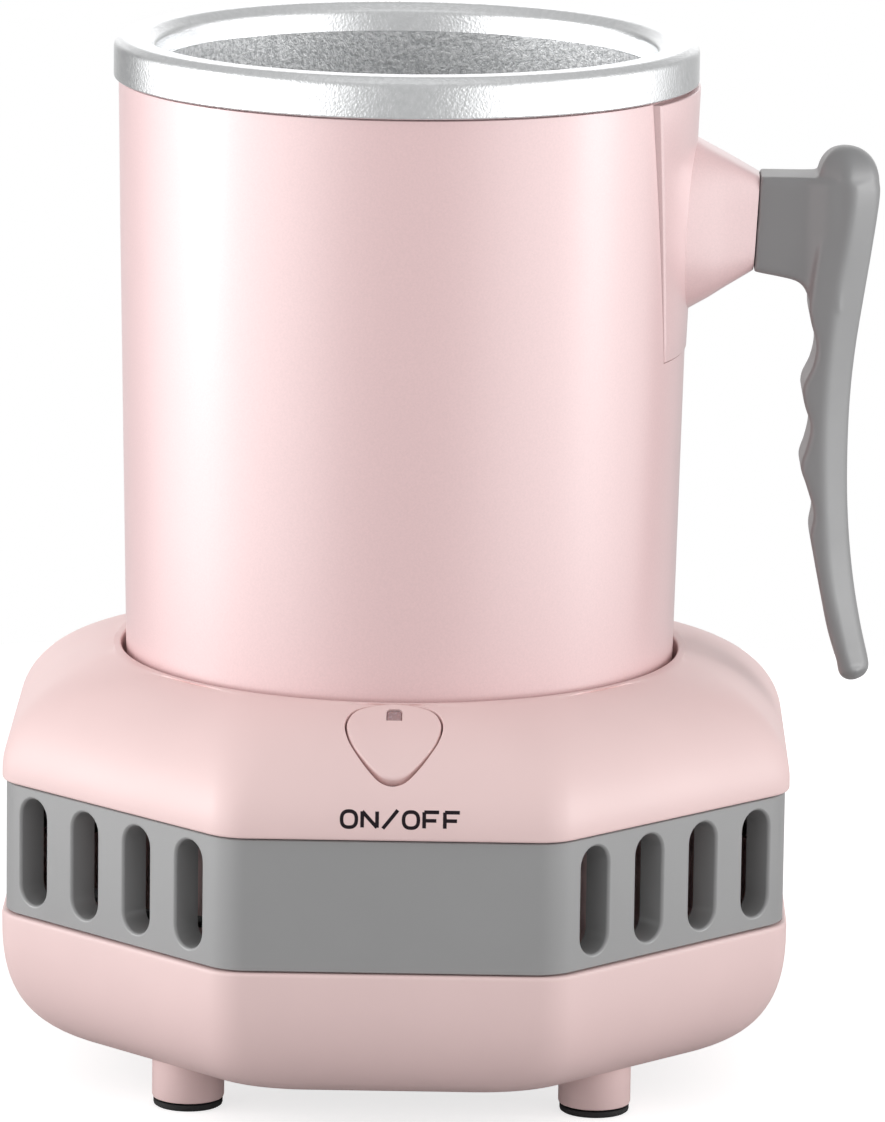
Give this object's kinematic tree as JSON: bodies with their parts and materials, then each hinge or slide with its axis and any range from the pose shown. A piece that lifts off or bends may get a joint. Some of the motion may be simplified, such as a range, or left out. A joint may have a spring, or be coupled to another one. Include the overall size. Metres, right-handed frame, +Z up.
{
  "type": "desktop drink cooler",
  "caption": "Lift-off insulated mug with pistol grip on an octagonal fan-cooled thermoelectric base with vent band, push button and four feet.",
  "frame": {"origin": "on the table under the middle of the whole box; the mug and base axis is 7.45 mm towards -X of it", "axes": "+Z up, -Y the front with the button, +X the handle side"},
  "size_m": [0.1544, 0.1396, 0.1861],
  "materials": {
    "casing_pink": "satin pearl",
    "band_grey": "satin",
    "mug_pink": "satin pearl lacquer",
    "grip_grey": "fine matt",
    "pad_rubber": "matt",
    "polished_aluminium": "brushed and polished",
    "frosted_aluminium": "bead blasted",
    "machined_aluminium": "turned",
    "cast_aluminium": "cast",
    "silicone": "matt",
    "screw_steel": "zinc plated",
    "bearing_brass": "turned",
    "winding_copper": "enamelled copper winding",
    "cell_ceramic": "matt",
    "insulation_foam": "closed-cell foam",
    "board_green": "solder mask",
    "dark_plastic": "satin",
    "lead_black": "satin",
    "lead_red": "satin",
    "lens": "tinted clear"
  },
  "bodies": {
    "base": {"base_top_shell": "casing_pink", "vent_band": "band_grey", "base_bottom_shell": "casing_pink", "foot_pad_1": "pad_rubber", "foot_pad_2": "pad_rubber", "foot_pad_3": "pad_rubber", "foot_pad_4": "pad_rubber", "housing_screw_1": "screw_steel", "housing_screw_2": "screw_steel", "housing_screw_3": "screw_steel", "housing_screw_4": "screw_steel", "fan_screw_1": "screw_steel", "fan_screw_2": "screw_steel", "fan_screw_3": "screw_steel", "fan_screw_4": "screw_steel", "cold_plate": "machined_aluminium", "well_gasket": "silicone", "peltier_module": "cell_ceramic", "foam_ring": "insulation_foam", "heat_sink": "cast_aluminium", "clamp_screw_1": "screw_steel", "clamp_screw_2": "screw_steel", "fan_frame": "dark_plastic", "fan_bearing": "bearing_brass", "fan_stator": "winding_copper", "control_board": "board_green", "board_screw_1": "screw_steel", "board_screw_2": "screw_steel", "tact_switch": "dark_plastic", "indicator_led": "lens", "dc_jack": "dark_plastic", "power_lead": "lead_black", "cell_lead": "lead_red", "fan_lead": "lead_black"},
    "fan_rotor": {"fan_rotor": "dark_plastic", "fan_axle": "screw_steel"},
    "button": {"button_cap": "casing_pink", "led_window": "lens"},
    "plunger": {"switch_plunger": "dark_plastic"},
    "mug": {"mug_shell": "mug_pink", "mug_liner": "frosted_aluminium", "rim_seal": "silicone", "rim_ring": "polished_aluminium", "handle_bracket": "mug_pink", "handle_grip": "grip_grey", "handle_screw_1": "screw_steel", "handle_screw_2": "screw_steel"}
  },
  "joints": [
    {"name": "mug_lift", "type": "slide", "parent": "base", "child": "mug", "axis": [0, 0, 1], "range_m": [0, 0.12]},
    {"name": "button_press", "type": "slide", "parent": "base", "child": "button", "axis": [0, 0.5314, -0.8471], "range_m": [0, 0.0006], "stiffness_N_per_m": 2500},
    {"name": "switch_press", "type": "slide", "parent": "base", "child": "plunger", "axis": [0, 0.5314, -0.8471], "range_m": [0, 0.0007]},
    {"name": "fan_spin", "type": "hinge", "parent": "base", "child": "fan_rotor", "pos_m": [-0.00745, 0, 0.0214], "axis": [0, 0, 1], "continuous": true}
  ],
  "couplings": [
    {"joint": "switch_press", "follows": "button_press", "ratio": 1}
  ]
}
